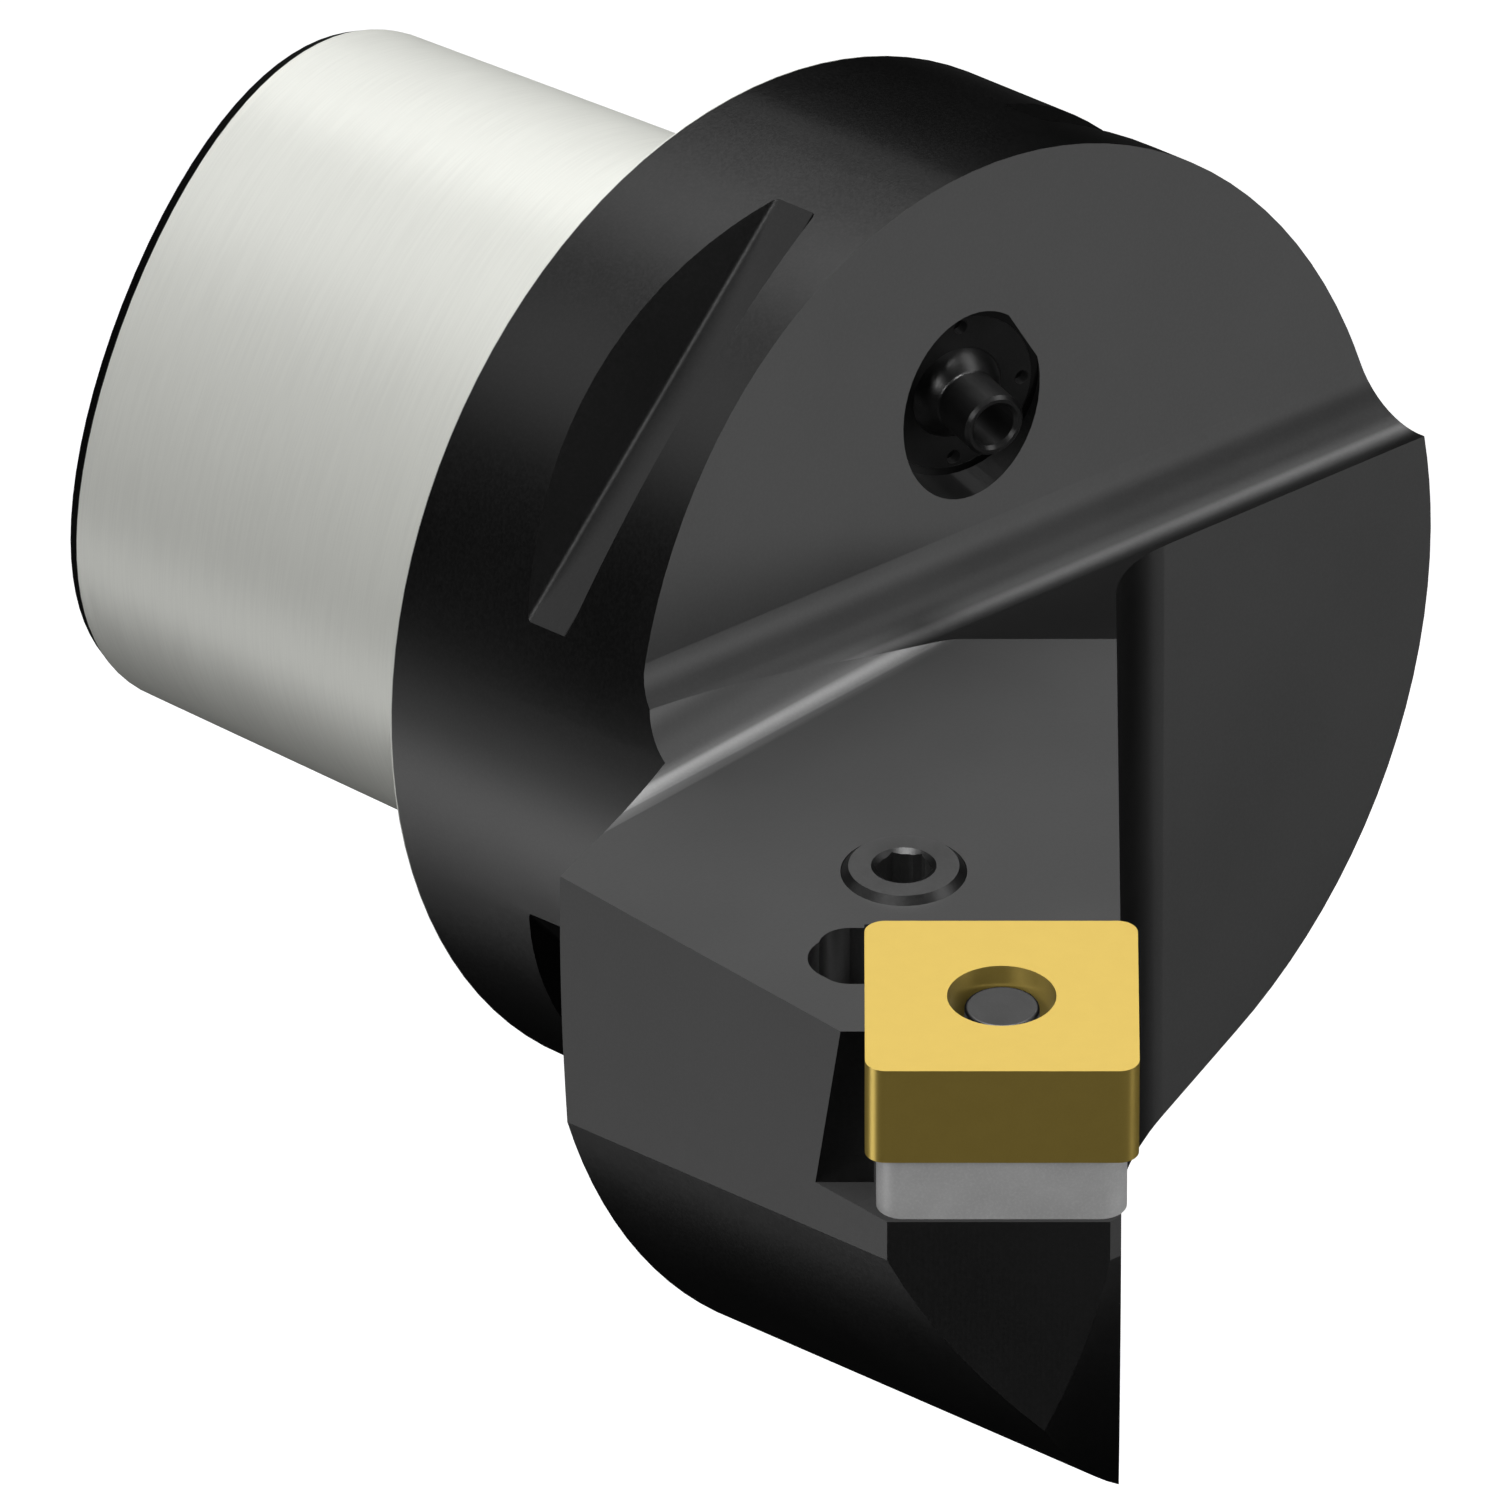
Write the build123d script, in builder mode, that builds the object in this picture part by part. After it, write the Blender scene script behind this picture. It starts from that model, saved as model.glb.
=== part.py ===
from build123d import *
from math import sin, cos, tan, radians, sqrt, atan2, pi
import os

os.makedirs("parts", exist_ok=True)

# Turning tool holder with a polygon-taper shank, a 45 degree lever-clamped
# square insert and an adjustable coolant nozzle.
# Frame: +X along the tool axis towards the insert, +Z up (the rake side),
# origin on the coupling axis in the flange's contact face. Millimetres.

# ---------------------------------------------------------------- coupling
R_FLANGE = 31.5        # flange radius (size 63 coupling)
X_FACE = 24.0          # lower front face of the flange
SHANK_L = 38.0         # polygon taper length
SHANK_D = 43.9         # polygon mean diameter at the contact face
SHANK_E = 1.4          # polygon lobe amplitude
SHANK_TAPER = 1 / 20   # diameter change per millimetre
LEAD_L = 0.9           # lead-in chamfer length at the shank's end
LEAD_R = 0.35          # lead-in chamfer depth
UNDERCUT = 0.3         # relief between taper and contact face
FACE_RELIEF = 0.45      # width and depth of the relief sunk in the contact face

# centre bore, stated as (x, r)
BORE_R = 14.0
GROOVE_R = 16.0
THREAD_R = 8.9175      # M20 x 2 minor radius
BORE_X = (-18.0, -15.1, 2.0, 9.0)
DUCT_BORE_R = 8.2

# gripper slots: four chordal slots round the flange
SLOT_H = 27.93         # slot floor to the coupling axis
SLOT_X = (10.05, 13.25)
SLOT_WALL = 30.0       # wall slope
SLOT_FILLET = 0.4

# ---------------------------------------------------------------- front face
TILT_X0 = 20.494       # tilted upper front face: x = TILT_X0 - TILT_K * z
TILT_K = 0.0876
LEDGE_Z = 6.165        # horizontal ledge under the tilted face
FACE_FILLET = 4.0
FLOOR_FILLET = 4.45

# ---------------------------------------------------------------- head
HEAD_SIDE_Y = -43.27
HEAD_C = (-9.0, -0.21)  # underside cylinder, centre (y, z)
HEAD_R = 36.58
HEAD_T = (15.5, -27.42)  # where the neck leaves the flange circle (y, z)
NECK_SLOPE = 0.56
NECK_FILLET = 20.0
CONE_X, CONE_K = 22.5, 0.297   # rear cone: x = CONE_X + CONE_K * (r - R_FLANGE)
SIDE_SUM = 28.78       # right side plane x + y
FRONT_DIFF = 96.13     # front clearance plane x - y
NOSE_X = 62.0          # narrow front facet
SIDE_FILLET = 10.0     # between the right side plane and the flange face

# ---------------------------------------------------------------- insert seat
RAKE = 7.93            # slope of the chip face
S45 = sqrt(0.5)
A = Vector(S45, S45, 0)
B0 = Vector(S45, -S45, 0)
N = Vector(0, 0, cos(radians(RAKE))) + B0 * sin(radians(RAKE))
B = B0 * cos(radians(RAKE)) - Vector(0, 0, sin(radians(RAKE)))
INSERT_S = 15.875      # insert side
INSERT_T = 6.35
INSERT_CORNER = 1.2
INSERT_HOLE_R = 3.175
IC = Vector(53.30, -34.32, INSERT_S / 2 * sin(radians(RAKE)))
FLOOR_N = -0.25        # chip floor below the insert's top face
SHIM_T = 4.35
SHIM_H = 7.27
SHIM_CORNER = 1.6
SEAT_N = -INSERT_T - SHIM_T
WALL = INSERT_S / 2    # pocket walls from the insert's centre
SHIM_WALL = SHIM_H + 0.12      # the left wall stands closer beside the shim
SHIM_LAND = SHIM_T - 0.1       # height of that closer part
STEP_B = 3.38          # where the left wall ends
# relief pocket in the left wall: milled slot and a drilled round end
RELIEF_A, RELIEF_B, RELIEF_R = -10.6, (-7.57, -1.63), 1.82
RELIEF_DRILL = (-8.74, -4.35, 2.5)      # a, b, r
FLOOR_Y0 = -31.0       # run-out fillet of the chip floor
FLOOR_X0 = 20.16
FLOOR_SLOPE = -0.005

# ---------------------------------------------------------------- clamping
PIN_R, PIN_IN_R = 3.8, 2.95
PIN_N = (-13.6, -7.2)
HEAD_AB = (0.03, -0.95)       # lever head centre in the insert's hole (a, b)
LEVER_TOP = -1.35
LEVER_HEAD_R = 2.19
LEVER_ARM_R = 1.75
SCREW_AB = (-5.63, -13.59)
SCREW_R = 3.665
SCREW_TOP = 0.16
SCREW_CHAMFER = 0.425
SCREW_HOLE_R = 3.70
SCREW_GROOVE = (-17.35, -14.80)
SCREW_CORE_R = 2.1
SCREW_END = -21.0
HEX_AF = 3.0
HEX_DEPTH = 3.6
HEX_TURN = -7.0
HEX_DRILL_R = 1.54     # drill that the socket was broached from

# ---------------------------------------------------------------- nozzle
U = Vector(0.959, -0.269, -0.091).normalized()
NOZ = Vector(17.319, -1.736, 17.397)   # centre of the counterbore floor
CB_R = 5.485
RING_HOLE_R, RING_R = 5.0, 4.98
RING_T = 1.2
BALL_R = 3.17
BALL_N = -1.23
CUP_R = BALL_R + 0.03
SPOUT_R, SPOUT_IN_R = 1.96, 1.35
SPOUT_N = 4.55
RIM_OUT, RIM_IN, SPOUT_FILLET = 0.2, 0.2, 0.25
SEAT_R, SEAT_HOLE_R = 4.88, 4.90
SEAT_NZ = (-6.2, -1.6)
DUCT_R = 2.2
KEY_R, KEY_PCR, KEY_DEPTH = 0.45, 4.36, 0.7


def polar(c, r, deg):
    return (c[0] + r * cos(radians(deg)), c[1] + r * sin(radians(deg)))


def polygon(d, grow=0.0, count=72):
    """Points of the three-lobed coupling curve in (y, z), one lobe up."""
    pts = []
    t = radians(30)
    for i in range(count):
        g = 2 * pi * i / count
        y = d / 2 * cos(g) - SHANK_E * cos(2 * g)
        z = d / 2 * sin(g) + SHANK_E * sin(2 * g)
        r = sqrt(y * y + z * z)
        y, z = y * (r + grow) / r, z * (r + grow) / r
        pts.append((y * cos(t) - z * sin(t), y * sin(t) + z * cos(t)))
    return pts


def plane_x(x):
    return Plane.YZ.offset(x)


# insert plane: local x = A, local y = -B, local z = chip-face normal
def insert_plane(n, a=0.0, b=0.0):
    return Plane(origin=IC + A * a + B * b + N * n, x_dir=A, z_dir=N)


# nozzle plane at height n above the counterbore floor
NOZ_X = Vector(0, 0, 1).cross(U).normalized()


def nozzle_plane(n):
    return Plane(origin=NOZ + U * n, x_dir=NOZ_X, z_dir=U)


# lever plane: local x = s towards the screw, local y = insert normal
LS = Vector(SCREW_AB[0] - HEAD_AB[0], SCREW_AB[1] - HEAD_AB[1])
S_LEN = LS.length
E = (A * LS.X + B * LS.Y).normalized()
LEVER_O = IC + A * HEAD_AB[0] + B * HEAD_AB[1]
LEVER_SIDE = Plane(origin=LEVER_O, x_dir=E, z_dir=E.cross(N))


def lever_top(n):
    return Plane(origin=LEVER_O + N * n, x_dir=E, z_dir=N)


# ================================================================ head blank
# Everything in front of the flange, before the chip side is cut.
hy, hz = HEAD_T
# where the straight neck line meets the underside circle
dy, dz = hy - HEAD_C[0], hz - HEAD_C[1]
qa = 1 + NECK_SLOPE ** 2
qb = dy + NECK_SLOPE * dz
qc = dy * dy + dz * dz - HEAD_R ** 2
step = (-qb - sqrt(qb * qb - qa * qc)) / qa
jy, jz = hy + step, hz + NECK_SLOPE * step
kz = HEAD_C[1] - sqrt(HEAD_R ** 2 - (HEAD_SIDE_Y - HEAD_C[0]) ** 2)

with BuildPart() as head_blank:
    with BuildSketch(plane_x(14)) as head_profile:
        with BuildLine():
            Polyline((hy, 12), (hy, hz), (jy, jz))
            ThreePointArc((jy, jz), polar(HEAD_C, HEAD_R, -115),
                          (HEAD_SIDE_Y, kz))
            Polyline((HEAD_SIDE_Y, kz), (HEAD_SIDE_Y, 12), (hy, 12))
        make_face()
        fillet(head_profile.vertices().sort_by(
            lambda v: (v.Y - jz) ** 2 + (v.X - jy) ** 2)[0], NECK_FILLET)
    extrude(amount=49)
    # right side plane, running into the flange face with a round corner
    with BuildSketch(Plane.XY.offset(-50)) as side_cut:
        Polygon((X_FACE, 40), (X_FACE, SIDE_SUM - X_FACE),
                (80, SIDE_SUM - 80), (80, 40), align=None)
        fillet(side_cut.vertices().sort_by(
            lambda v: (v.X - X_FACE) ** 2 + (v.Y - SIDE_SUM + X_FACE) ** 2)[0],
            SIDE_FILLET)
    extrude(amount=80, mode=Mode.SUBTRACT)
    # front clearance plane
    with BuildSketch(Plane.XY.offset(-50)):
        Polygon((FRONT_DIFF - 55, -55), (85, -55), (85, 85 - FRONT_DIFF),
                align=None)
    extrude(amount=80, mode=Mode.SUBTRACT)
    # narrow front facet and the curved front underside
    with BuildSketch(Plane.XZ):
        with BuildLine():
            Line((NOSE_X, 20), (NOSE_X, -13))
            ThreePointArc((NOSE_X, -13), (59.35, -23.93), (50.5, -40))
            Polyline((50.5, -40), (80, -40), (80, 20), (NOSE_X, 20))
        make_face()
    extrude(amount=70, both=True, mode=Mode.SUBTRACT)
    # conical back of the head, turned round the tool axis
    r_in, r_out = R_FLANGE - 1.0, 62.0
    with BuildSketch(Plane.XZ):
        Polygon((10, r_in), (CONE_X + CONE_K * (r_in - R_FLANGE), r_in),
                (CONE_X + CONE_K * (r_out - R_FLANGE), r_out), (10, r_out),
                align=None)
    revolve(axis=Axis.X, mode=Mode.SUBTRACT)

# ================================================================ taper
with BuildPart() as taper:
    with BuildSketch(plane_x(0.5)):
        with BuildLine():
            Spline(*polygon(SHANK_D, -UNDERCUT), periodic=True)
        make_face()
    with BuildSketch(plane_x(-1.0)):
        with BuildLine():
            Spline(*polygon(SHANK_D - 1.0 * SHANK_TAPER, -UNDERCUT),
                   periodic=True)
        make_face()
    loft()
    with BuildSketch(plane_x(-1.0)):
        with BuildLine():
            Spline(*polygon(SHANK_D - 1.0 * SHANK_TAPER), periodic=True)
        make_face()
    with BuildSketch(plane_x(-(SHANK_L - LEAD_L))):
        with BuildLine():
            Spline(*polygon(SHANK_D - (SHANK_L - LEAD_L) * SHANK_TAPER),
                   periodic=True)
        make_face()
    loft()
    with BuildSketch(plane_x(-(SHANK_L - LEAD_L))):
        with BuildLine():
            Spline(*polygon(SHANK_D - (SHANK_L - LEAD_L) * SHANK_TAPER),
                   periodic=True)
        make_face()
    with BuildSketch(plane_x(-SHANK_L)):
        with BuildLine():
            Spline(*polygon(SHANK_D - SHANK_L * SHANK_TAPER, -LEAD_R),
                   periodic=True)
        make_face()
    loft()

# ================================================================ face relief
with BuildPart() as face_relief:
    with BuildSketch(plane_x(0)):
        with BuildLine():
            Spline(*polygon(SHANK_D, FACE_RELIEF), periodic=True)
        make_face()
        with BuildLine():
            Spline(*polygon(SHANK_D, -FACE_RELIEF), periodic=True)
        make_face(mode=Mode.SUBTRACT)
    extrude(amount=FACE_RELIEF)

# ================================================================ holder body
d_floor = Vector(FLOOR_SLOPE, 1, 0)
d_floor = (d_floor - N * d_floor.dot(N)).normalized()
e_floor = d_floor.cross(N).normalized()        # towards the insert
corner = Vector(FLOOR_X0, FLOOR_Y0, 0)
corner = corner + Vector(0, 0, 1) * ((FLOOR_N - (corner - IC).dot(N)) / N.Z)

with BuildPart() as holder_body:
    # flange
    with BuildSketch(plane_x(0)):
        Circle(R_FLANGE)
    extrude(amount=X_FACE)
    # gripper slots
    for turn in (45, 135, 225, 315):
        c, s = cos(radians(turn)), sin(radians(turn))
        rise = 36.0 - SLOT_H
        with BuildSketch(Plane(origin=(0, 0, 0), x_dir=(1, 0, 0),
                               z_dir=(0, -s, c))) as slot:
            Polygon((SLOT_X[0], SLOT_H), (SLOT_X[1], SLOT_H),
                    (SLOT_X[1] + rise * tan(radians(SLOT_WALL)), 36.0),
                    (SLOT_X[0] - rise * tan(radians(SLOT_WALL)), 36.0),
                    align=None)
            fillet(slot.vertices().group_by(Axis.Y)[0], SLOT_FILLET)
        extrude(amount=25, both=True, mode=Mode.SUBTRACT)
    add(head_blank.part)
    add(taper.part)
    add(face_relief.part, mode=Mode.SUBTRACT)
    # tilted upper face and the ledge below it
    with BuildSketch(Plane.XZ) as upper:
        Polygon((TILT_X0 - TILT_K * 45, 45), (TILT_X0 - TILT_K * LEDGE_Z, LEDGE_Z),
                (90, LEDGE_Z), (90, 45), align=None)
        fillet(upper.vertices().group_by(Axis.Y)[0].sort_by(Axis.X)[0],
               FACE_FILLET)
    extrude(amount=70, both=True, mode=Mode.SUBTRACT)
    # sloping chip floor
    with BuildSketch(Plane(origin=corner, x_dir=e_floor,
                           z_dir=e_floor.cross(N))) as chip:
        Polygon((0, 0), (80, 0), (80, 40), (0, 40), align=None)
        fillet(chip.vertices().sort_by(lambda v: v.X ** 2 + v.Y ** 2)[0],
               FLOOR_FILLET)
    extrude(amount=75, both=True, mode=Mode.SUBTRACT)
    # insert pocket down to the shim seat
    with BuildSketch(insert_plane(SEAT_N)):
        Polygon((-SHIM_WALL, WALL), (30, WALL), (30, -30), (-40, -30),
                (-40, -STEP_B), (-SHIM_WALL, -STEP_B), align=None)
    extrude(amount=20, mode=Mode.SUBTRACT)
    # above the shim the left wall steps back to the insert's side
    with BuildSketch(insert_plane(SEAT_N + SHIM_LAND)):
        Polygon((-WALL, WALL), (0, WALL), (0, -STEP_B), (-WALL, -STEP_B),
                align=None)
    extrude(amount=20, mode=Mode.SUBTRACT)
    with BuildSketch(insert_plane(SEAT_N)):
        with Locations((RELIEF_A + 3.25, -(RELIEF_B[0] + RELIEF_B[1]) / 2)):
            RectangleRounded(6.5, RELIEF_B[1] - RELIEF_B[0], RELIEF_R)
        with Locations((RELIEF_DRILL[0], -RELIEF_DRILL[1])):
            Circle(RELIEF_DRILL[2])
    extrude(amount=20, mode=Mode.SUBTRACT)
    # hole for the shim pin
    with BuildSketch(insert_plane(SEAT_N + 1)):
        Circle(PIN_R)
    extrude(amount=-(SEAT_N + 1 - PIN_N[0]), mode=Mode.SUBTRACT)
    # lever cavity between the shim pin and the screw
    with BuildSketch(lever_top(-13.2)) as cavity:
        with Locations(((S_LEN - 3.4) / 2, 0)):
            Rectangle(S_LEN + 3.4, 5.4)
        fillet(cavity.vertices(), 1.5)
    extrude(amount=-5.8, mode=Mode.SUBTRACT)
    # the cavity opens into the shim pin's hole
    with BuildSketch(insert_plane(PIN_N[0] + 0.1)):
        Circle(3.1)
    extrude(amount=-2, mode=Mode.SUBTRACT)
    # lever screw hole
    with BuildSketch(insert_plane(2, *SCREW_AB)):
        Circle(SCREW_HOLE_R)
    extrude(amount=-26, mode=Mode.SUBTRACT)
    # coolant nozzle: counterbore, ring thread, seat pocket, duct
    with BuildSketch(nozzle_plane(0)):
        Circle(CB_R)
    extrude(amount=9, mode=Mode.SUBTRACT)
    with BuildSketch(nozzle_plane(0)):
        Circle(RING_HOLE_R)
    extrude(amount=SEAT_NZ[1], mode=Mode.SUBTRACT)
    with BuildSketch(nozzle_plane(0)):
        Circle(SEAT_HOLE_R)
    extrude(amount=SEAT_NZ[0], mode=Mode.SUBTRACT)
    with BuildSketch(nozzle_plane(0)):
        Circle(DUCT_R)
    extrude(amount=-14, mode=Mode.SUBTRACT)
    # cross duct down to the centre bore
    duct_top = NOZ - U * 12.5
    duct_dir = (Vector(5.6, 0.0, 0.0) - duct_top).normalized()
    with BuildSketch(Plane(origin=duct_top - duct_dir * 2.2, z_dir=duct_dir)):
        Circle(2.2)
    extrude(amount=16, mode=Mode.SUBTRACT)
    # centre bore with its segment groove and bolt thread
    with BuildSketch(Plane.XZ):
        Polygon((-SHANK_L - 1, 0), (-SHANK_L - 1, BORE_R + 2.2),
                (-SHANK_L + 1.2, BORE_R), (-33.5, BORE_R), (-33.5, GROOVE_R),
                (-29.0, GROOVE_R), (-27.4, BORE_R), (BORE_X[0], BORE_R),
                (BORE_X[1], THREAD_R), (BORE_X[2], THREAD_R),
                (BORE_X[2], DUCT_BORE_R), (BORE_X[3], DUCT_BORE_R),
                (BORE_X[3] + DUCT_BORE_R / tan(radians(59)), 0), align=None)
    revolve(axis=Axis.X, mode=Mode.SUBTRACT)
holder_body.part.label = "holder_body"
export_step(holder_body.part, "parts/holder_body.step")

# ================================================================ insert
with BuildPart() as insert:
    with BuildSketch(insert_plane(0)):
        RectangleRounded(INSERT_S, INSERT_S, INSERT_CORNER)
        Circle(INSERT_HOLE_R, mode=Mode.SUBTRACT)
    extrude(amount=-INSERT_T)
insert.part.label = "insert"
export_step(insert.part, "parts/insert.step")

# ================================================================ shim
with BuildPart() as shim:
    with BuildSketch(insert_plane(SEAT_N)):
        RectangleRounded(2 * SHIM_H, 2 * SHIM_H, SHIM_CORNER)
        Circle(PIN_R + 0.05, mode=Mode.SUBTRACT)
    extrude(amount=SHIM_T)
shim.part.label = "shim"
export_step(shim.part, "parts/shim.step")

# ================================================================ shim pin
# slotted spring sleeve; the lever passes through it
with BuildPart() as shim_pin:
    with BuildSketch(insert_plane(PIN_N[0])):
        Circle(PIN_R)
        Circle(PIN_IN_R, mode=Mode.SUBTRACT)
        with Locations((0, -PIN_R)):
            Rectangle(1.2, 3.0, mode=Mode.SUBTRACT)
    extrude(amount=PIN_N[1] - PIN_N[0])
    chamfer(shim_pin.faces().sort_by(Axis(IC, N))[-1].outer_wire().edges()
            .filter_by(GeomType.CIRCLE).sort_by(SortBy.LENGTH)[-1], 0.25)
shim_pin.part.label = "shim_pin"
export_step(shim_pin.part, "parts/shim_pin.step")

# ================================================================ lever
with BuildPart() as clamping_lever:
    with BuildSketch(LEVER_SIDE):
        with BuildLine():
            Polyline((0, -15.0), (LEVER_ARM_R, -15.0), (LEVER_ARM_R, -4.7),
                     (LEVER_HEAD_R, -4.1), (LEVER_HEAD_R, LEVER_TOP - 0.2))
            RadiusArc((LEVER_HEAD_R, LEVER_TOP - 0.2),
                      (LEVER_HEAD_R - 0.2, LEVER_TOP), -0.2)
            Polyline((LEVER_HEAD_R - 0.2, LEVER_TOP), (0, LEVER_TOP), (0, -15.0))
        make_face()
    revolve(axis=Axis(LEVER_O, N))
    with BuildSketch(LEVER_SIDE) as elbow:
        Polygon((-1.9, -13.9), (1.9, -13.9), (3.4, -14.92), (11.4, -14.92),
                (11.4, -17.2), (9.4, -17.2), (8.4, -17.9), (-1.2, -17.9),
                (-2.5, -16.9), (-2.5, -15.2), align=None)
    extrude(amount=2.0, both=True)
    fillet(clamping_lever.edges().filter_by(lambda e: abs(
        (e.center() - LEVER_O).dot(N) + 17.9) < 0.01
        and e.length > 3.9 and abs((e @ 0 - e @ 1).normalized().dot(E)) < 0.1),
        0.5)
clamping_lever.part.label = "clamping_lever"
export_step(clamping_lever.part, "parts/clamping_lever.step")

# ================================================================ lever screw
SCREW_O = IC + A * SCREW_AB[0] + B * SCREW_AB[1]
with BuildPart() as lever_screw:
    with BuildSketch(Plane(origin=SCREW_O, x_dir=E, z_dir=E.cross(N))):
        Polygon((0, SCREW_TOP), (SCREW_R - SCREW_CHAMFER, SCREW_TOP),
                (SCREW_R, SCREW_TOP - SCREW_CHAMFER),
                (SCREW_R, SCREW_GROOVE[1]), (SCREW_CORE_R, SCREW_GROOVE[1]),
                (SCREW_CORE_R, SCREW_GROOVE[0]), (SCREW_R, SCREW_GROOVE[0]),
                (SCREW_R, SCREW_END + 1.0), (SCREW_R - 1.0, SCREW_END),
                (0, SCREW_END), align=None)
    revolve(axis=Axis(SCREW_O, N))
    # hexagon socket with its lead-in
    with BuildSketch(Plane(origin=SCREW_O + N * SCREW_TOP, x_dir=A, z_dir=N)):
        RegularPolygon(HEX_AF / 2, 6, major_radius=False, rotation=HEX_TURN)
    extrude(amount=-HEX_DEPTH, mode=Mode.SUBTRACT)
    with BuildSketch(Plane(origin=SCREW_O + N * SCREW_TOP, x_dir=A, z_dir=N)):
        Circle(HEX_DRILL_R)
    extrude(amount=-HEX_DEPTH - 0.5, mode=Mode.SUBTRACT)
    with BuildSketch(Plane(origin=SCREW_O, x_dir=E, z_dir=E.cross(N))):
        Polygon((0, SCREW_TOP + 0.2), (1.915 + 0.346, SCREW_TOP + 0.2),
                (1.395, SCREW_TOP - 0.3), (0, SCREW_TOP - 0.3), align=None)
    revolve(axis=Axis(SCREW_O, N), mode=Mode.SUBTRACT)
lever_screw.part.label = "lever_screw"
export_step(lever_screw.part, "parts/lever_screw.step")

# ================================================================ nozzle ball
NOZ_SIDE = Plane(origin=NOZ, x_dir=NOZ_X, z_dir=NOZ_X.cross(U))
ball_low = BALL_N - sqrt(BALL_R ** 2 - 1.7 ** 2)
ball_top = BALL_N + sqrt(BALL_R ** 2 - SPOUT_R ** 2)


def nozzle_ball_root(vertices):
    return vertices.sort_by(
        lambda v: (v.X - SPOUT_R) ** 2 + (v.Y - ball_top) ** 2)[0]


with BuildPart() as nozzle_ball:
    with BuildSketch(NOZ_SIDE) as nozzle_profile:
        with BuildLine():
            Polyline((SPOUT_IN_R, ball_low + 0.35), (1.7, ball_low))
            ThreePointArc((1.7, ball_low), (BALL_R, BALL_N), (SPOUT_R, ball_top))
            Polyline((SPOUT_R, ball_top), (SPOUT_R, SPOUT_N - RIM_OUT),
                     (SPOUT_R - RIM_OUT, SPOUT_N), (SPOUT_IN_R + RIM_IN, SPOUT_N),
                     (SPOUT_IN_R, SPOUT_N - RIM_IN), (SPOUT_IN_R, ball_low + 0.35))
        make_face()
        fillet(nozzle_ball_root(nozzle_profile.vertices()), SPOUT_FILLET)
    revolve(axis=Axis(NOZ, U))
nozzle_ball.part.label = "nozzle_ball"
export_step(nozzle_ball.part, "parts/nozzle_ball.step")

# ================================================================ nozzle ring
ring_in_top = sqrt(CUP_R ** 2 - BALL_N ** 2)
ring_in_low = sqrt(CUP_R ** 2 - (-RING_T - BALL_N) ** 2)
mid = -RING_T / 2
ring_in_mid = sqrt(CUP_R ** 2 - (mid - BALL_N) ** 2)
with BuildPart() as nozzle_ring:
    with BuildSketch(NOZ_SIDE):
        with BuildLine():
            Polyline((ring_in_top, 0), (RING_R, 0), (RING_R, -RING_T),
                     (ring_in_low, -RING_T))
            ThreePointArc((ring_in_low, -RING_T), (ring_in_mid, mid),
                          (ring_in_top, 0))
        make_face()
    revolve(axis=Axis(NOZ, U))
    # four pin-spanner holes
    with BuildSketch(nozzle_plane(0)):
        with PolarLocations(KEY_PCR, 4):
            Circle(KEY_R)
    extrude(amount=-KEY_DEPTH, mode=Mode.SUBTRACT)
nozzle_ring.part.label = "nozzle_ring"
export_step(nozzle_ring.part, "parts/nozzle_ring.step")

# ================================================================ nozzle seat
cup_top = sqrt(CUP_R ** 2 - (SEAT_NZ[1] - BALL_N) ** 2)
cup_low_n = BALL_N - sqrt(CUP_R ** 2 - DUCT_R ** 2)
m = (SEAT_NZ[1] + cup_low_n) / 2
with BuildPart() as nozzle_seat:
    with BuildSketch(NOZ_SIDE):
        with BuildLine():
            Polyline((cup_top, SEAT_NZ[1]), (SEAT_R, SEAT_NZ[1]),
                     (SEAT_R, SEAT_NZ[0]), (DUCT_R, SEAT_NZ[0]),
                     (DUCT_R, cup_low_n))
            ThreePointArc((DUCT_R, cup_low_n),
                          (sqrt(CUP_R ** 2 - (m - BALL_N) ** 2), m),
                          (cup_top, SEAT_NZ[1]))
        make_face()
    revolve(axis=Axis(NOZ, U))
nozzle_seat.part.label = "nozzle_seat"
export_step(nozzle_seat.part, "parts/nozzle_seat.step")
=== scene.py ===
import math

import bpy
from mathutils import Matrix, Vector

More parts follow.
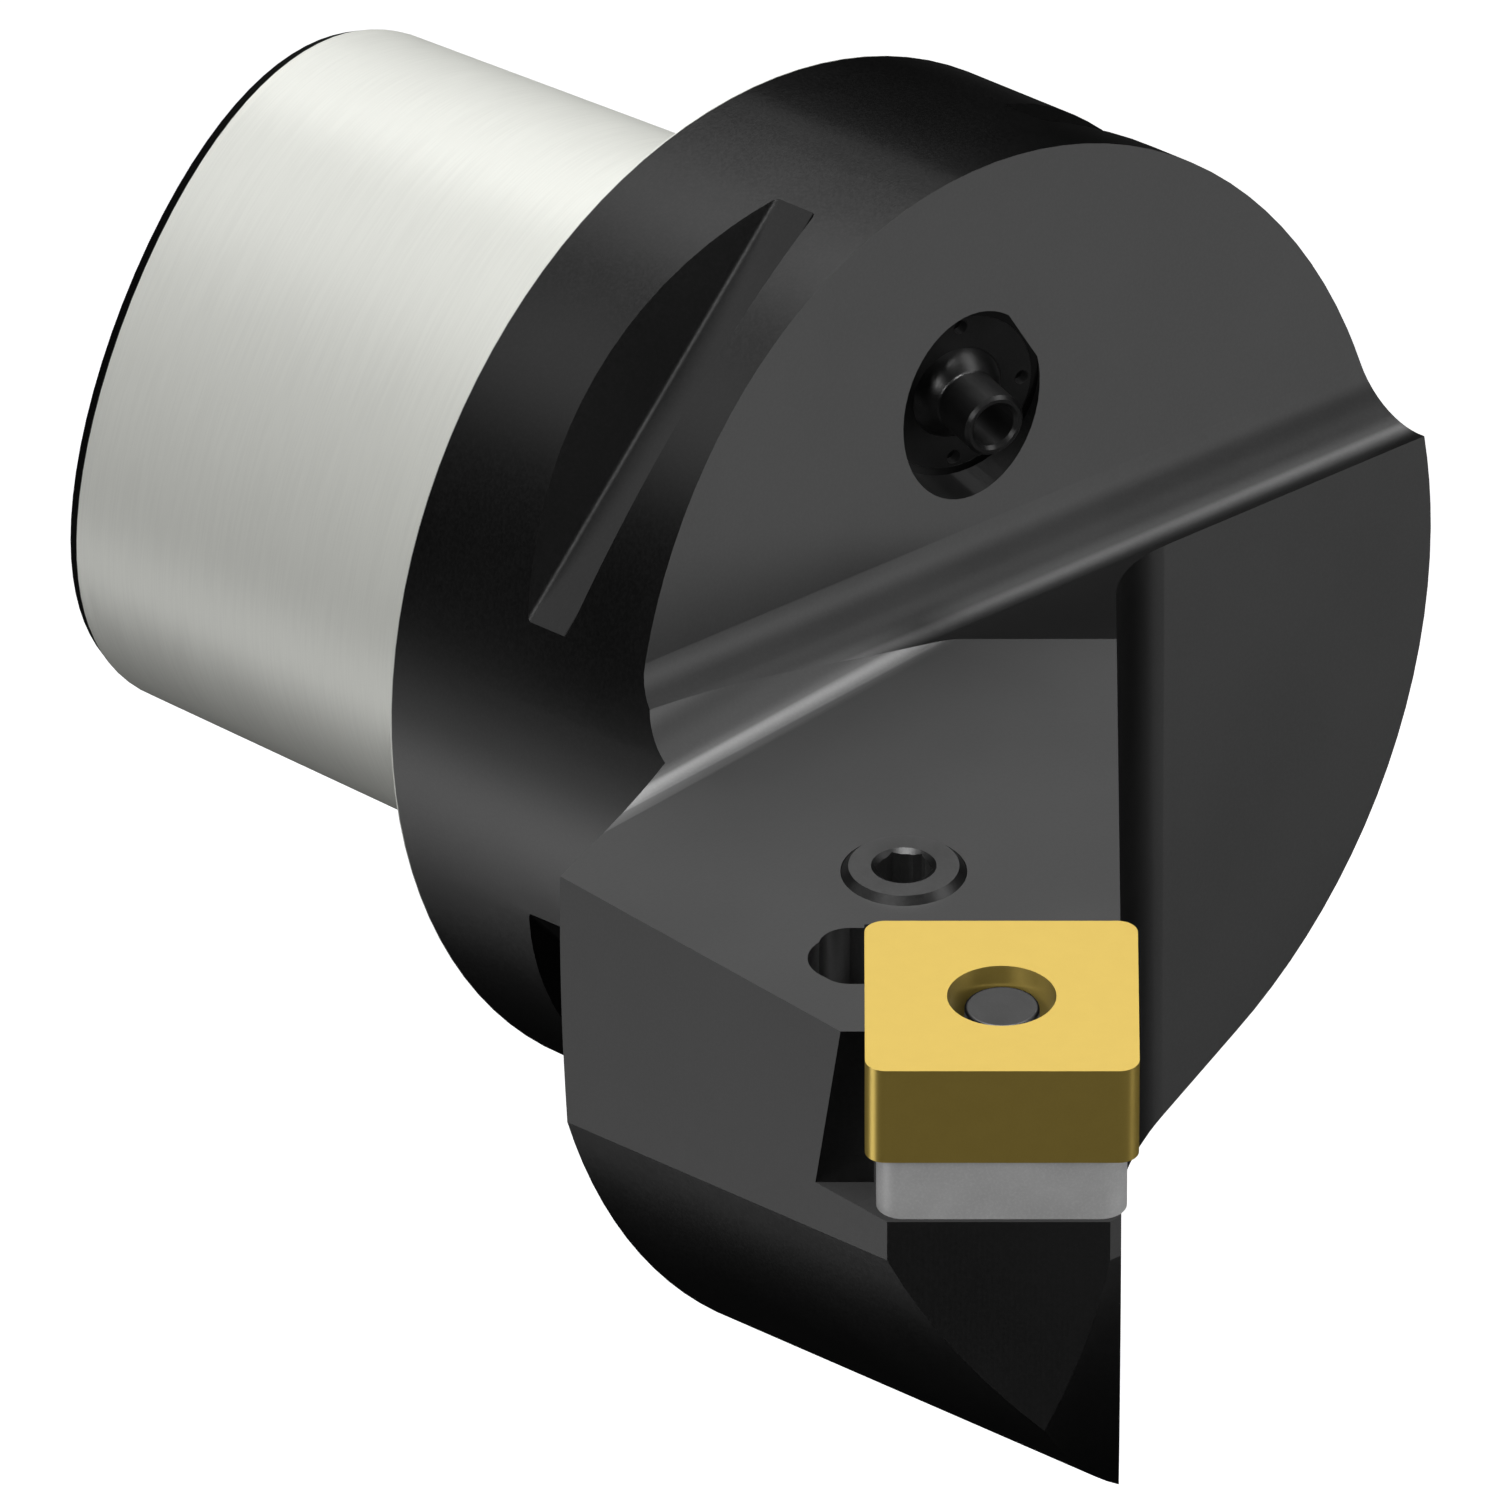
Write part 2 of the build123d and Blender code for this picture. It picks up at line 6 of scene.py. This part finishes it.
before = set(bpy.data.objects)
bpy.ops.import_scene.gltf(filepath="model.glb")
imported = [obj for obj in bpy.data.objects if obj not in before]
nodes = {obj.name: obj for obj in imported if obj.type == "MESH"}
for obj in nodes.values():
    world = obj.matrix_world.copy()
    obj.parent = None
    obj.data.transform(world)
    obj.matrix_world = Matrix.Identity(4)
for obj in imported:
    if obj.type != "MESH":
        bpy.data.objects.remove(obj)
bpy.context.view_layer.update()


# ---------------------------------------------------------------- node helpers
class Mat:
    """A small builder for one node-based material."""

    def __init__(self, name):
        self.m = bpy.data.materials.new(name)
        self.m.use_nodes = True
        self.t = self.m.node_tree
        self.t.nodes.clear()
        self.out = self.t.nodes.new("ShaderNodeOutputMaterial")
        self.b = self.t.nodes.new("ShaderNodeBsdfPrincipled")
        self.t.links.new(self.b.outputs[0], self.out.inputs[0])
        self.pos = self.t.nodes.new("ShaderNodeTexCoord").outputs["Object"]
        self.xyz = self.t.nodes.new("ShaderNodeSeparateXYZ")
        self.t.links.new(self.pos, self.xyz.inputs[0])

    def put(self, socket, value):
        if hasattr(value, "is_output"):
            self.t.links.new(value, socket)
        else:
            socket.default_value = value

    def math(self, op, a, b=0.0, c=0.0, clamp=False):
        n = self.t.nodes.new("ShaderNodeMath")
        n.operation = op
        n.use_clamp = clamp
        self.put(n.inputs[0], a)
        self.put(n.inputs[1], b)
        self.put(n.inputs[2], c)
        return n.outputs[0]

    def ramp(self, v, a, b, low=0.0, high=1.0, smooth=True):
        n = self.t.nodes.new("ShaderNodeMapRange")
        n.interpolation_type = "SMOOTHSTEP" if smooth else "LINEAR"
        self.put(n.inputs[0], v)
        n.inputs[1].default_value = a
        n.inputs[2].default_value = b
        n.inputs[3].default_value = low
        n.inputs[4].default_value = high
        return n.outputs[0]

    def mix(self, f, a, b):
        n = self.t.nodes.new("ShaderNodeMix")
        n.data_type = "RGBA"
        self.put(n.inputs[0], f)
        self.put(n.inputs[6], a)
        self.put(n.inputs[7], b)
        return n.outputs[2]

    def mixf(self, f, a, b):
        n = self.t.nodes.new("ShaderNodeMix")
        n.data_type = "FLOAT"
        self.put(n.inputs[0], f)
        self.put(n.inputs[2], a)
        self.put(n.inputs[3], b)
        return n.outputs[0]

    def noise(self, scale, detail=2.0, stretch=(1, 1, 1), rough=0.5):
        mp = self.t.nodes.new("ShaderNodeMapping")
        self.t.links.new(self.pos, mp.inputs[0])
        mp.inputs["Scale"].default_value = stretch
        n = self.t.nodes.new("ShaderNodeTexNoise")
        self.t.links.new(mp.outputs[0], n.inputs["Vector"])
        n.inputs["Scale"].default_value = scale
        n.inputs["Detail"].default_value = detail
        n.inputs["Roughness"].default_value = rough
        return n.outputs[0]

    def along(self, direction):
        """Distance along a fixed direction, in metres."""
        n = self.t.nodes.new("ShaderNodeVectorMath")
        n.operation = "DOT_PRODUCT"
        self.t.links.new(self.pos, n.inputs[0])
        n.inputs[1].default_value = direction
        return n.outputs["Value"]

    def from_axis(self, point, axis):
        """Distance from a fixed line, in metres."""
        n = self.t.nodes.new("ShaderNodeVectorMath")
        n.operation = "SUBTRACT"
        self.t.links.new(self.pos, n.inputs[0])
        n.inputs[1].default_value = point
        c = self.t.nodes.new("ShaderNodeVectorMath")
        c.operation = "CROSS_PRODUCT"
        self.t.links.new(n.outputs[0], c.inputs[0])
        c.inputs[1].default_value = axis
        d = self.t.nodes.new("ShaderNodeVectorMath")
        d.operation = "LENGTH"
        self.t.links.new(c.outputs[0], d.inputs[0])
        return d.outputs["Value"]

    def wave(self, v, pitch):
        """A rounded wave of that pitch along v, from 0 to 1."""
        s = self.math("SINE", self.math("MULTIPLY", v, 2 * math.pi / pitch))
        return self.math("MULTIPLY_ADD", s, 0.5, 0.5)

    def facing(self, direction):
        """How far the surface faces a fixed direction, -1 to 1."""
        g = self.t.nodes.new("ShaderNodeNewGeometry")
        n = self.t.nodes.new("ShaderNodeVectorMath")
        n.operation = "DOT_PRODUCT"
        self.t.links.new(g.outputs["Normal"], n.inputs[0])
        n.inputs[1].default_value = tuple(Vector(direction).normalized())
        return n.outputs["Value"]

    def bump(self, height, distance, strength=1.0):
        n = self.t.nodes.new("ShaderNodeBump")
        n.inputs["Strength"].default_value = strength
        n.inputs["Distance"].default_value = distance
        self.t.links.new(height, n.inputs["Height"])
        self.t.links.new(n.outputs[0], self.b.inputs["Normal"])

    def set(self, name, value):
        self.put(self.b.inputs[name], value)
        return self


def grey(v, tint=(1.0, 1.0, 1.0)):
    return (v * tint[0], v * tint[1], v * tint[2], 1.0)


# ---------------------------------------------------------------- frame data
U = Vector((0.9588, -0.2690, -0.0910))          # coolant nozzle axis
NOZ = Vector((0.01802, -0.00194, 0.01733))      # centre of the ring's face
N2 = Vector((0.09756, -0.09756, 0.99044))       # insert's upper face
SCREW = Vector((0.03980, -0.02878, 0.00297))    # a point on the lever screw's axis


# ---------------------------------------------------------------- materials
def oxide_steel():
    m = Mat("oxide_steel")
    x, y, z = m.xyz.outputs
    r = m.math("SQRT", m.math("ADD", m.math("MULTIPLY", y, y), m.math("MULTIPLY", z, z)))
    # the ground taper and contact face, outside the bore
    outside = m.ramp(r, 0.0168, 0.0172)
    before_face = m.ramp(x, 0.00002, 0.00012, 1.0, 0.0)
    after_lead = m.ramp(x, -0.03713, -0.03707)
    ground = m.math("MULTIPLY", m.math("MULTIPLY", outside, before_face), after_lead)
    m.ground = ground
    # fine grinding lines run round the taper, turning lines round the flange
    cloud = m.noise(95.0, 4.0)
    fine = m.noise(5200.0, 2.0)
    lines = m.noise(900.0, 3.0, (9.0, 0.25, 0.25))
    turned = m.wave(x, 0.00022)
    around = m.ramp(r, 0.0308, 0.0312)
    # colours
    oxide = m.mix(m.ramp(cloud, 0.3, 0.7), grey(OX_BASE * 0.96), grey(OX_BASE * 1.04))
    oxide = m.mix(m.ramp(fine, 0.35, 0.75, 0.0, 0.16), oxide, grey(OX_BASE * 1.5))
    steel = m.mix(m.ramp(lines, 0.3, 0.7), grey(SH_BASE * 0.975, SH_TINT), grey(SH_BASE * 1.015, SH_TINT))
    # painted shade: the blind floor of the nozzle's counterbore is painted darker, standing in for the shade in that
    # recess
    near = m.ramp(m.from_axis(tuple(NOZ), tuple(U)), 0.0058, 0.0062, 1.0, 0.0)
    deep = m.ramp(m.along(tuple(U)), NOZ.dot(U) - 0.0002, NOZ.dot(U) + 0.0004, 1.0, 0.0)
    painted_counterbore_shade = m.math("MULTIPLY", m.math("MULTIPLY", near, deep), m.ramp(m.facing(tuple(U)), 0.975, 0.99))
    oxide = m.mix(painted_counterbore_shade, oxide, grey(OX_BASE * 0.36))
    # painted light and shade by facing direction: a painted highlight on the fillet by the chip floor and painted light
    # on the flange's side facet, painted shade on the top of the flange and on the underside
    top = m.ramp(m.facing((0.0, 0.139, 0.990)), 0.945, 0.998, 1.0, 0.45)
    side = m.ramp(m.facing((0.0, -0.970, -0.242)), 0.956, 0.9986, 1.0, 1.58)
    painted_underside_shade = m.ramp(m.facing((0.0, -0.643, -0.766)), 0.899, 0.990, 1.0, 0.65)
    painted_fillet_highlight = m.ramp(m.facing((0.24, -0.10, 0.966)), 0.980, 0.997, 1.0, 2.4)
    painted_light_and_shade = m.math("MULTIPLY", m.math("MULTIPLY", top, side), m.math("MULTIPLY", painted_underside_shade, painted_fillet_highlight))
    scale = m.t.nodes.new("ShaderNodeVectorMath")
    scale.operation = "SCALE"
    m.put(scale.inputs[0], oxide)
    m.put(scale.inputs["Scale"], painted_light_and_shade)
    # the milled chip floor is duller than the turned faces
    dull = m.ramp(m.facing(tuple(N2)), 0.9935, 0.9985)
    oxide = m.mix(dull, scale.outputs[0], m.mix(m.ramp(cloud, 0.3, 0.7), grey(FLOOR_BASE * 0.97), grey(FLOOR_BASE * 1.03)))
    m.set("Base Color", m.mix(ground, oxide, steel))
    m.set("Metallic", m.mixf(ground, OX_METAL, SH_METAL))
    rough_ox = m.ramp(cloud, 0.25, 0.75, OX_ROUGH - 0.01, OX_ROUGH + 0.01)
    rough_ox = m.math("MULTIPLY_ADD", m.ramp(fine, 0.3, 0.7), 0.04, rough_ox)
    rough_ox = m.math("MULTIPLY_ADD", dull, FLOOR_ROUGH - OX_ROUGH, rough_ox)
    rough_sh = m.ramp(lines, 0.3, 0.7, SH_ROUGH - 0.03, SH_ROUGH + 0.03)
    m.set("Roughness", m.mixf(ground, rough_ox, rough_sh))
    m.set("Specular IOR Level", 0.5)
    h = m.math("MULTIPLY", fine, m.mixf(ground, 0.5, 0.12))
    h = m.math("ADD", h, m.math("MULTIPLY", m.math("MULTIPLY", turned, around), m.mixf(ground, 0.55, 0.0)))
    h = m.math("ADD", h, m.math("MULTIPLY", lines, m.mixf(ground, 0.0, 0.5)))
    m.bump(h, 0.000004, 0.35)
    return m.m


def plain_metal(name, base, rough, metal=1.0, tint=(1, 1, 1), speck=0.2, bump=0.3, turned=None, level=0.5,
                socket=None):
    m = Mat(name)
    m.set("Specular IOR Level", level)
    cloud = m.noise(260.0, 4.0)
    fine = m.noise(6400.0, 2.0)
    c = m.mix(m.ramp(cloud, 0.3, 0.7), grey(base * 0.93, tint), grey(base * 1.07, tint))
    c = m.mix(m.ramp(fine, 0.4, 0.8, 0.0, speck), c, grey(base * 1.5, tint))
    if socket:
        # painted light: the socket's walls are painted brighter, standing in for light that does not reach inside, and
        # the lead-in chamfer is painted darker to tone down its highlight
        point, axis, radius = socket
        inside = m.ramp(m.from_axis(point, axis), radius - 0.00003, radius + 0.00003, 1.0, 0.0)
        facing = m.facing(axis)
        slope = m.math("MULTIPLY", inside, m.ramp(facing, 0.90, 0.97, 1.0, 0.0))
        painted_light_and_shade = m.mixf(slope, 1.0, m.ramp(facing, 0.20, 0.35, 3.0, 0.6))
        scale = m.t.nodes.new("ShaderNodeVectorMath")
        scale.operation = "SCALE"
        m.put(scale.inputs[0], c)
        m.put(scale.inputs["Scale"], painted_light_and_shade)
        c = scale.outputs[0]
    m.set("Base Color", c)
    m.set("Metallic", metal)
    rr = m.ramp(cloud, 0.25, 0.75, rough - 0.03, rough + 0.03)
    m.set("Roughness", m.math("MULTIPLY_ADD", m.ramp(fine, 0.3, 0.7), 0.04, rr))
    h = m.math("MULTIPLY", fine, 0.6)
    if turned:
        point, axis, pitch = turned
        h = m.math("ADD", h, m.math("MULTIPLY", m.wave(m.from_axis(point, axis), pitch), 0.5))
    m.bump(h, 0.000004, bump)
    return m.m


def coated_carbide():
    m = Mat("coated_carbide")
    cloud = m.noise(900.0, 4.0)
    fine = m.noise(7200.0, 3.0)
    depth = m.along(tuple(N2))
    flank = m.noise(1400.0, 2.0, (1.0, 1.0, 0.12))
    top = m.ramp(m.facing(tuple(N2)), 0.75, 0.95)
    c = m.mix(m.ramp(cloud, 0.3, 0.7), TIN_A, TIN_B)
    c = m.mix(m.ramp(fine, 0.35, 0.8, 0.0, 0.25), c, TIN_C)
    # the upper face is rougher and a little darker than the flanks
    scale = m.t.nodes.new("ShaderNodeVectorMath")
    scale.operation = "SCALE"
    m.put(scale.inputs[0], c)
    m.put(scale.inputs["Scale"], m.mixf(top, 1.0, TOP_TONE))
    m.set("Base Color", scale.outputs[0])
    m.set("Metallic", TIN_METAL)
    rr = m.ramp(fine, 0.25, 0.75, TIN_ROUGH - 0.02, TIN_ROUGH + 0.03)
    rr = m.math("MULTIPLY_ADD", top, TOP_ROUGH - TIN_ROUGH, rr)
    m.set("Roughness", m.math("MULTIPLY_ADD", m.ramp(cloud, 0.3, 0.7), 0.015, rr))
    h = m.math("ADD", m.math("MULTIPLY", fine, 0.6), m.math("MULTIPLY", flank, m.mixf(top, 0.5, 0.0)))
    m.bump(h, 0.000003, 0.2)
    return m.m


OX_BASE, OX_METAL, OX_ROUGH = 0.0800, 1.0, 0.34
FLOOR_BASE, FLOOR_ROUGH = 0.074, 0.45
TOP_TONE, TOP_ROUGH = 0.83, 0.52
SH_BASE, SH_METAL, SH_ROUGH = 0.955, 0.32, 0.36
SH_TINT = (0.990, 1.0, 0.938)
TIN_A, TIN_B, TIN_C = (0.775, 0.560, 0.126, 1), (0.790, 0.574, 0.131, 1), (0.83, 0.63, 0.168, 1)
TIN_METAL, TIN_ROUGH = 0.625, 0.32

materials = {
    "holder_body": oxide_steel(),
    "insert": coated_carbide(),
    "shim": plain_metal("plain_carbide", 0.715, 0.36, metal=0.02, level=0.25),
    "shim_pin": plain_metal("spring_steel", 0.12, 0.35),
    "clamping_lever": plain_metal("lever_steel", 0.078, 0.34),
    "lever_screw": plain_metal("screw_steel", 0.080, 0.34, socket=(tuple(SCREW), tuple(N2), 0.0020)),
    "nozzle_ball": plain_metal("nozzle_steel", 0.072, 0.30, metal=0.97, level=0.1, speck=0.05, bump=0.12, turned=(tuple(NOZ), tuple(U), 0.00012)),
    "nozzle_ring": plain_metal("ring_steel", 0.025, 0.34, metal=0.4, level=0.1, turned=(tuple(NOZ), tuple(U), 0.00012)),
    "nozzle_seat": plain_metal("seat_brass", 0.60, 0.30, tint=(1.0, 0.74, 0.36)),
}
for name, mat in materials.items():
    o = nodes[name]
    for s in o.material_slots:
        s.material = mat
    if not o.material_slots:
        o.data.materials.append(mat)

# the coated insert does not tint the dark hollows beside it
nodes["insert"].visible_diffuse = False
nodes["insert"].visible_glossy = False

# ---------------------------------------------------------------- camera
cam = bpy.data.cameras.new("camera")
cam.sensor_width = 36.0
cam.lens = 1031.2
cam.clip_start, cam.clip_end = 0.05, 60.0
cam_ob = bpy.data.objects.new("camera", cam)
bpy.context.scene.collection.objects.link(cam_ob)
right, up, back = (0.70711, 0.70711, 0.0), (-0.29884, 0.29884, 0.90631), (0.64086, -0.64086, 0.42262)
rot = Matrix((
    (right[0], up[0], back[0]),
    (right[1], up[1], back[1]),
    (right[2], up[2], back[2]),
))
cam_ob.matrix_world = Matrix.Translation((1.63319, -1.63482, 1.06547)) @ rot.to_4x4()
bpy.context.scene.camera = cam_ob

# ---------------------------------------------------------------- light
# azimuth, elevation, angular size (degrees), power, and whether it is a fill lamp
# that casts no shadow, for each soft lamp
LIGHTS = [
    (-69, 80, 26, 7.12, False),
    (49, 52, 26, 0.87, False),
    (29, 35, 26, 0.83, False),
    (-76, 24, 26, 2.78, False),
    (21, -1, 26, 1.69, False),
    (-32, -6, 26, 0.47, False),
    (-124, -39, 26, 0.91, False),
    (154, 73, 26, 2.09, True),
    (101, 61, 26, 1.55, True),
    (-141, 43, 26, 0.41, True),
    (33, -22, 26, 0.29, True),
    (-124, -39, 26, 0.87, True),
    (-135, -25, 20, 0.26, True),
    (45, -16, 16, 0.28, False),
    (135, 52, 16, 0.34, True),
    (120, 68, 26, 1.12, True),
    (170, 60, 26, 0.59, False),
    (30, 10, 26, 0.84, True),
]
LIGHT_DISTANCE = 1.1
for i, (az, el, size, power, fill) in enumerate(LIGHTS):
    a, e = math.radians(az), math.radians(el)
    d = Vector((math.cos(a) * math.cos(e), math.sin(a) * math.cos(e), math.sin(e)))
    light = bpy.data.lights.new(f"soft_{i:02d}", "AREA")
    light.shape = "DISK"
    light.size = 2 * LIGHT_DISTANCE * math.tan(math.radians(size / 2))
    light.energy = power
    light.use_shadow = not fill
    ob = bpy.data.objects.new(light.name, light)
    bpy.context.scene.collection.objects.link(ob)
    ob.location = Vector((0.02, -0.005, 0.0)) + d * LIGHT_DISTANCE
    ob.rotation_mode = "QUATERNION"
    ob.rotation_quaternion = d.to_track_quat("Z", "Y")
    ob.visible_camera = False

world = bpy.data.worlds.new("studio")
bpy.context.scene.world = world
world.use_nodes = True
wt = world.node_tree
wt.nodes.clear()
wo = wt.nodes.new("ShaderNodeOutputWorld")
soft = wt.nodes.new("ShaderNodeBackground")
soft.inputs[0].default_value = (1.0, 1.0, 1.0, 1.0)
soft.inputs[1].default_value = 0.0
white = wt.nodes.new("ShaderNodeBackground")
white.inputs[0].default_value = (1.0, 1.0, 1.0, 1.0)
white.inputs[1].default_value = 1.0
pick = wt.nodes.new("ShaderNodeMixShader")
path = wt.nodes.new("ShaderNodeLightPath")
wt.links.new(path.outputs["Is Camera Ray"], pick.inputs[0])
wt.links.new(soft.outputs[0], pick.inputs[1])
wt.links.new(white.outputs[0], pick.inputs[2])
wt.links.new(pick.outputs[0], wo.inputs[0])

# ---------------------------------------------------------------- floor
fm = bpy.data.meshes.new("floor")
segs = 96
ring = [(1.6 * math.cos(2 * math.pi * k / segs), 1.6 * math.sin(2 * math.pi * k / segs), -0.6) for k in range(segs)]
fm.from_pydata(ring, [], [tuple(range(segs))])
floor = bpy.data.objects.new("floor", fm)
bpy.context.scene.collection.objects.link(floor)
floor.visible_glossy = False
floor.visible_diffuse = False
floor.visible_shadow = False
f = Mat("floor_paint")
glow = f.t.nodes.new("ShaderNodeEmission")
glow.inputs[1].default_value = 0.93
f.set("Base Color", (0.9, 0.9, 0.9, 1.0))
f.set("Roughness", f.ramp(f.noise(3.0, 3.0), 0.3, 0.7, 0.7, 0.8))
add = f.t.nodes.new("ShaderNodeAddShader")
clear = f.t.nodes.new("ShaderNodeBsdfTransparent")
side = f.t.nodes.new("ShaderNodeMixShader")
geom = f.t.nodes.new("ShaderNodeNewGeometry")
f.t.links.new(f.b.outputs[0], add.inputs[0])
f.t.links.new(glow.outputs[0], add.inputs[1])
f.t.links.new(geom.outputs["Backfacing"], side.inputs[0])
f.t.links.new(add.outputs[0], side.inputs[1])
f.t.links.new(clear.outputs[0], side.inputs[2])
f.t.links.new(side.outputs[0], f.out.inputs[0])
fm.materials.append(f.m)

# ---------------------------------------------------------------- output look
vs = bpy.context.scene.view_settings
vs.view_transform = "Standard"
vs.look = "None"
vs.exposure = 0.0
vs.gamma = 1.0
